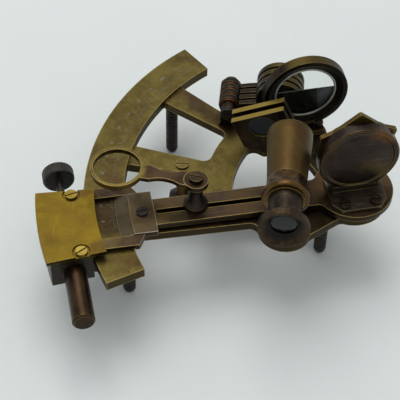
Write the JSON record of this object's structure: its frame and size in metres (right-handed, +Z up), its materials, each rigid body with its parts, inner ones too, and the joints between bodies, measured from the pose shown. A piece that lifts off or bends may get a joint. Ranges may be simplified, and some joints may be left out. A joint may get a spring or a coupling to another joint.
{
  "type": "sextant",
  "caption": "Small brass sextant on legs, with a slotted index arm, tangent screw clamp, magnifier, swinging shades, two mirrors and a short draw-tube telescope.",
  "frame": {"origin": "middle of the object's box, on the table that its three legs stand on; the index pivot's axis stands at x 51 mm, y -7.9 mm", "axes": "+Z up, square to the limb; +Y away from the eye, along the telescope to within 5 degrees; +X from the clamp towards the index pivot"},
  "size_m": [0.1321, 0.1376, 0.0705],
  "materials": {
    "limb_brass": "aged brass, brushed and worn",
    "cover_brass": "aged brass, brighter where it is handled",
    "brown_brass": "chemically browned brass, rubbed at the edges",
    "scope_brass": "browned brass worn back to yellow",
    "edge_brass": "lacquered brass with dark faces",
    "black_metal": "blackened brass",
    "dark_bronze": "dark bronzed brass",
    "copper": "reddish copper washers",
    "steel": "spring steel",
    "wood": "dark turned hardwood",
    "clear_glass": "clear polished glass",
    "mirror": "silvered",
    "dark_glass": "very dark neutral glass",
    "green_glass": "dark green glass",
    "red_glass": "dark red glass"
  },
  "bodies": {
    "frame": {"frame": "limb_brass", "legs": "black_metal", "handle_grip": "wood", "handle_pillars": "limb_brass", "handle_screws": "limb_brass", "pivot_bush": "cover_brass", "telescope_holder": "brown_brass", "holder_screws": "dark_bronze", "telescope_body": "scope_brass", "objective_lens": "clear_glass", "horizon_foot": "brown_brass", "horizon_screws": "dark_bronze", "horizon_ring": "brown_brass", "horizon_glass": "clear_glass", "horizon_silvering": "mirror", "far_shade_post": "brown_brass", "far_shade_pin": "black_metal", "far_shade_washers": "copper", "near_shade_post": "brown_brass", "near_shade_pin": "dark_bronze"},
    "index_arm": {"index_arm": "brown_brass", "pivot_axle": "cover_brass", "pivot_nut": "dark_bronze", "vernier_plate": "brown_brass", "vernier_screw": "black_metal", "index_mirror_base": "dark_bronze", "index_mirror_screws": "dark_bronze", "index_mirror_cell": "brown_brass", "index_mirror_bezel": "scope_brass", "index_mirror_glass": "mirror", "magnifier_post": "dark_bronze", "magnifier_screw": "brown_brass"},
    "magnifier": {"magnifier_arm": "brown_brass", "magnifier_lens": "clear_glass"},
    "clamp": {"tangent_box": "dark_bronze", "tangent_cover": "cover_brass", "cover_screws": "cover_brass", "spring_sleeve": "brown_brass", "return_spring": "steel", "clamp_shoe": "cover_brass"},
    "tangent_screw": {"tangent_screw": "black_metal"},
    "plunger": {"plunger": "cover_brass"},
    "clamp_screw": {"clamp_screw": "black_metal"},
    "draw_tube": {"draw_tube": "brown_brass", "eyecup": "dark_bronze", "eye_lens": "clear_glass"},
    "far_shade_1": {"far_shade_1": "brown_brass", "far_glass_1": "dark_glass"},
    "far_shade_2": {"far_shade_2": "brown_brass", "far_glass_2": "green_glass"},
    "far_shade_3": {"far_shade_3": "brown_brass", "far_glass_3": "dark_glass"},
    "far_shade_4": {"far_shade_4": "brown_brass", "far_glass_4": "red_glass"},
    "near_shade_1": {"near_shade_1": "edge_brass", "near_glass_1": "dark_glass"},
    "near_shade_2": {"near_shade_2": "edge_brass", "near_glass_2": "green_glass"}
  },
  "joints": [
    {"name": "index_arm_swing", "type": "hinge", "parent": "frame", "child": "index_arm", "pos_m": [0.05098, -0.00785, 0.033], "axis": [0, 0, 1], "range_deg": [-27, 6]},
    {"name": "tangent_screw_turn", "type": "hinge", "parent": "clamp", "child": "tangent_screw", "pos_m": [-0.05288, -0.0305, 0.0285], "axis": [0.213, -0.977, 0], "range_deg": [-1090, 1090]},
    {"name": "clamp_shift", "type": "hinge", "parent": "index_arm", "child": "clamp", "pos_m": [0.05098, -0.00785, 0.033], "axis": [0, 0, 1], "range_deg": [-1.15, 1.15]},
    {"name": "plunger_slide", "type": "slide", "parent": "clamp", "child": "plunger", "axis": [0.213, -0.977, 0], "range_m": [-0.00215, 0.00215], "deforming": ["return_spring"]},
    {"name": "clamp_screw_turn", "type": "hinge", "parent": "clamp", "child": "clamp_screw", "pos_m": [-0.04379, -0.02851, 0.015], "axis": [0, 0, 1], "range_deg": [-216, 0]},
    {"name": "magnifier_swing", "type": "hinge", "parent": "index_arm", "child": "magnifier", "pos_m": [-0.00724, -0.01805, 0.047], "axis": [0, 0, 1], "range_deg": [-8, 30]},
    {"name": "draw_tube_slide", "type": "slide", "parent": "frame", "child": "draw_tube", "axis": [-0.0767, -0.9971, 0], "range_m": [-0.006, 0.004]},
    {"name": "far_shade_1_swing", "type": "hinge", "parent": "frame", "child": "far_shade_1", "pos_m": [0.00448, 0.02815, 0.039], "axis": [-0.0767, -0.9971, 0], "range_deg": [-5, 95]},
    {"name": "far_shade_2_swing", "type": "hinge", "parent": "frame", "child": "far_shade_2", "pos_m": [0.00448, 0.02815, 0.039], "axis": [-0.0767, -0.9971, 0], "range_deg": [-5, 95]},
    {"name": "far_shade_3_swing", "type": "hinge", "parent": "frame", "child": "far_shade_3", "pos_m": [0.00448, 0.02815, 0.039], "axis": [-0.0767, -0.9971, 0], "range_deg": [-5, 95]},
    {"name": "far_shade_4_swing", "type": "hinge", "parent": "frame", "child": "far_shade_4", "pos_m": [0.00448, 0.02815, 0.039], "axis": [-0.0767, -0.9971, 0], "range_deg": [-5, 95]},
    {"name": "near_shade_1_swing", "type": "hinge", "parent": "frame", "child": "near_shade_1", "pos_m": [0.02148, 0.0119, 0.0369], "axis": [-0.0767, -0.9971, 0], "range_deg": [-70, 14]},
    {"name": "near_shade_2_swing", "type": "hinge", "parent": "frame", "child": "near_shade_2", "pos_m": [0.02148, 0.0119, 0.0369], "axis": [-0.0767, -0.9971, 0], "range_deg": [-70, 14]}
  ],
  "couplings": [
    {"joint": "clamp_shift", "follows": "tangent_screw_turn", "ratio": 0.0010481},
    {"joint": "plunger_slide", "follows": "tangent_screw_turn", "m_per_rad": -0.00011141}
  ]
}
